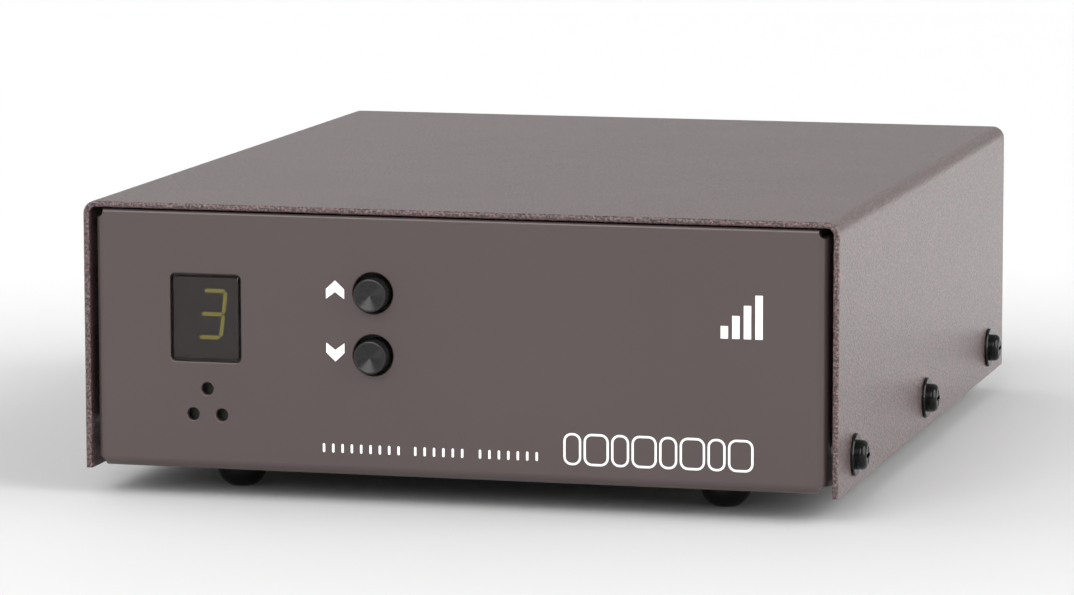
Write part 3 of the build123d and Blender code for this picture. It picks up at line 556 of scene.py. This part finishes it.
def turned(profile, x, z):
    """Points and faces of a profile of (radius, y) turned about the Y axis through x and z.

    The profile starts and ends on that axis."""
    points = [(x, profile[0][1], z)]
    for radius, y in profile[1:-1]:
        for i in range(CAP_SIDES):
            angle = 2 * pi * i / CAP_SIDES
            points.append((x + radius * cos(angle), y, z + radius * sin(angle)))
    points.append((x, profile[-1][1], z))
    faces = []
    last = len(points) - 1
    end = last - CAP_SIDES
    for i in range(CAP_SIDES):
        j = (i + 1) % CAP_SIDES
        faces.append((0, 1 + i, 1 + j))
        for a in range(1, end, CAP_SIDES):
            b = a + CAP_SIDES
            faces.append((a + i, b + i, b + j, a + j))
        faces.append((end + i, last, end + j))
    return points, faces


def button_cap(name, body):
    """Cap with a slightly dished face of fine turned grooves, in place of the plain one."""
    low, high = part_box(name)
    x, z = middle(low, high)
    radius = (high.x - low.x) / 2
    face_r = radius - CAP_EDGE
    front, rear = low.y, high.y

    def dished(r):
        return front + CAP_DISH * (1 - (r / face_r) ** 2)

    profile = [(0, dished(0))]
    groove = GROOVE_PITCH
    while groove < face_r - GROOVE_PITCH / 2:
        deepest = groove - GROOVE_PITCH * GROOVE_LEAN
        profile.append((deepest, dished(deepest) + GROOVE_DEPTH))
        profile.append((groove, dished(groove)))
        groove += GROOVE_PITCH
    bend_in, bend_back = CAP_EDGE_BEND
    profile += [
        (face_r, front), (radius - CAP_EDGE * bend_in, front + CAP_EDGE * bend_back),
        (radius, front + CAP_EDGE), (radius, rear), (PLUNGER_R, rear),
        (PLUNGER_R, front + PLUNGER_DEPTH), (0, front + PLUNGER_DEPTH),
    ]
    made = piece(f"{name}_cap", *turned(profile, x, z), "black_cap", body, smooth=True)

    def reach(point):
        return Vector((point.x - x, point.z - z)).length

    for edge in made.data.edges:
        a, b = (made.data.vertices[index].co for index in edge.vertices)
        edge.use_edge_sharp = abs(a.y - b.y) < SAME and abs(reach(a) - reach(b)) < SAME
    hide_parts(name)


button_cap("up_button", "up_cap")
button_cap("down_button", "down_cap")


# ---------------------------------------------------------------- return springs
WIRE_R = 0.15 * MM
WIRE_SIDES = 10
COIL_STEPS = 150
COIL_TURNS = 5.0
CLOSED_TURNS = 0.75
COIL_EASE = 0.3  # how gently the coil leaves its closed ends


def return_spring(name):
    """Coil spring with closed ends, in place of the plain one."""
    low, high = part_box(name)
    x, z = middle(low, high)
    radius = (high.x - low.x) / 2 - WIRE_R
    start, end = high.y - WIRE_R, low.y + WIRE_R
    free = COIL_TURNS - 2 * CLOSED_TURNS
    points = []
    for i in range(COIL_STEPS + 1):
        turn = COIL_TURNS * i / COIL_STEPS
        share = min(max((turn - CLOSED_TURNS) / free, 0.0), 1.0)
        lift = share * share * (3 - 2 * share) * COIL_EASE + share * (1 - COIL_EASE)
        outward = Vector((cos(2 * pi * turn), 0, sin(2 * pi * turn)))
        centre = Vector((x, start + (end - start) * lift, z)) + radius * outward
        for k in range(WIRE_SIDES):
            angle = 2 * pi * k / WIRE_SIDES
            around = outward * cos(angle) + Vector((0, 1, 0)) * sin(angle)
            points.append(tuple(centre + WIRE_R * around))
    last = COIL_STEPS * WIRE_SIDES
    faces = [tuple(range(WIRE_SIDES - 1, -1, -1)), tuple(range(last, last + WIRE_SIDES))]
    for row in range(0, last, WIRE_SIDES):
        for k in range(WIRE_SIDES):
            a, b = row + k, row + (k + 1) % WIRE_SIDES
            faces.append((a, b, b + WIRE_SIDES, a + WIRE_SIDES))
    made = piece(f"{name}_coil", points, faces, "spring_steel", "case", smooth=True)
    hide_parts(name)
    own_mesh(made)


return_spring("up_return_spring")
return_spring("down_return_spring")


# ---------------------------------------------------------------- studio
FLOOR_HALF = 6.0
FLOOR_NEAR, FLOOR_FAR = 0.12, 0.36
# the floor tone near the object is painted shade; further out it is the plain floor
FLOOR_SHADED_TONE, FLOOR_FAR_TONE = 0.58, 0.68

# strength of the tent low down in front, low down behind, and higher up
TENT_LOW, TENT_BACK, TENT_HIGH = 0.50, 0.44, 0.45
# where its back (by Y) and its higher part (by Z) start and where they are full
TENT_TURN = (-0.1, 0.6)
TENT_RISE = (0.35, 0.6)
# direction of a bank of lamps, the cosines at its rim and where it is full, and its strength
BANKS = (
    ((-0.14, -0.80, 0.58), 0.90, 0.95, 5.1),
    ((0.90, -0.10, 0.42), 0.85, 0.93, 5.6),
    ((-0.90, 0.10, 0.42), 0.60, 0.85, 0.9),
)

LENS, SENSOR_W = 178.94, 36.0
CAMERA_REACH = 30.0
# from the middle of the cover's lower front edge, in widths of the cover
CAMERA_RIGHT, CAMERA_AHEAD, CAMERA_UP = 1.8208, 6.4970, 1.1575
# in degrees
CAMERA_TURN, CAMERA_TILT, CAMERA_ROLL = 14.76, 7.74, -0.09


def studio_floor():
    """Pale table that runs out of sight, darker near the object with painted shade and paler away
    from it.
    """
    finish = Finish("studio_floor", Roughness=0.6)
    reach = finish.add("ShaderNodeVectorMath", {0: finish.place()}, operation="LENGTH")
    cloud = finish.noise(0.5)
    distance = finish.total(reach.outputs["Value"], finish.spread(cloud, -0.02, 0.02))
    # darker close to the object: painted shade around the box, fading out with distance
    shaded_near, far = grey(FLOOR_SHADED_TONE), grey(FLOOR_FAR_TONE)
    finish.set("Base Color", finish.blend(distance, shaded_near, far, FLOOR_NEAR, FLOOR_FAR))
    corners = [(x, y, 0) for x, y in rectangle(0, 0, 2 * FLOOR_HALF, 2 * FLOOR_HALF)]
    mesh = bpy.data.meshes.new("studio_floor")
    mesh.from_pydata(corners, [], [(0, 1, 2, 3)])
    made = bpy.data.objects.new("studio_floor", mesh)
    bpy.context.collection.objects.link(made)
    mesh.materials.append(finish.material)


def studio_light():
    """A soft white tent with round banks of lamps.

    One is high in front, one to the right, and a weak one to the left."""
    world = bpy.data.worlds.new("studio")
    bpy.context.scene.world = world
    world.use_nodes = True
    tree = world.node_tree
    direction = tree.nodes.new("ShaderNodeTexCoord").outputs["Generated"]
    split = tree.nodes.new("ShaderNodeSeparateXYZ")
    feed(tree, split.inputs["Vector"], direction)

    def fade(value, start, end, low, high):
        made = tree.nodes.new("ShaderNodeMapRange")
        for socket, given in zip(made.inputs, (value, start, end, low, high)):
            feed(tree, socket, given)
        return made.outputs["Result"]

    low_wall = fade(split.outputs["Y"], *TENT_TURN, TENT_LOW, TENT_BACK)
    light = fade(split.outputs["Z"], *TENT_RISE, low_wall, TENT_HIGH)
    for aim, rim_cosine, full_cosine, strength in BANKS:
        towards = tree.nodes.new("ShaderNodeVectorMath")
        towards.operation = "DOT_PRODUCT"
        feed(tree, towards.inputs[0], direction)
        feed(tree, towards.inputs[1], Vector(aim).normalized())
        bank = fade(towards.outputs["Value"], rim_cosine, full_cosine, 0.0, strength)
        total = tree.nodes.new("ShaderNodeMath")
        total.operation = "ADD"
        feed(tree, total.inputs[0], light)
        feed(tree, total.inputs[1], bank)
        light = total.outputs["Value"]
    feed(tree, tree.nodes["Background"].inputs["Color"], light)


def studio_camera():
    """The view from the front and the right, a little above the box."""
    camera = bpy.data.cameras.new("camera")
    camera.lens = LENS
    camera.sensor_width = SENSOR_W
    camera.clip_end = CAMERA_REACH
    made = bpy.data.objects.new("camera", camera)
    width = COVER_HIGH.x - COVER_LOW.x
    place = Vector((
        (COVER_LOW.x + COVER_HIGH.x) / 2 + CAMERA_RIGHT * width,
        COVER_LOW.y - CAMERA_AHEAD * width,
        COVER_LOW.z + CAMERA_UP * width,
    ))
    turn = Matrix.Rotation(radians(CAMERA_TURN), 4, "Z")
    tilt = Matrix.Rotation(radians(90 - CAMERA_TILT), 4, "X")
    roll = Matrix.Rotation(radians(CAMERA_ROLL), 4, "Z")
    made.matrix_world = Matrix.Translation(place) @ turn @ tilt @ roll
    bpy.context.collection.objects.link(made)
    bpy.context.scene.camera = made


studio_floor()
studio_light()
studio_camera()
bpy.context.scene.view_settings.view_transform = "Standard"
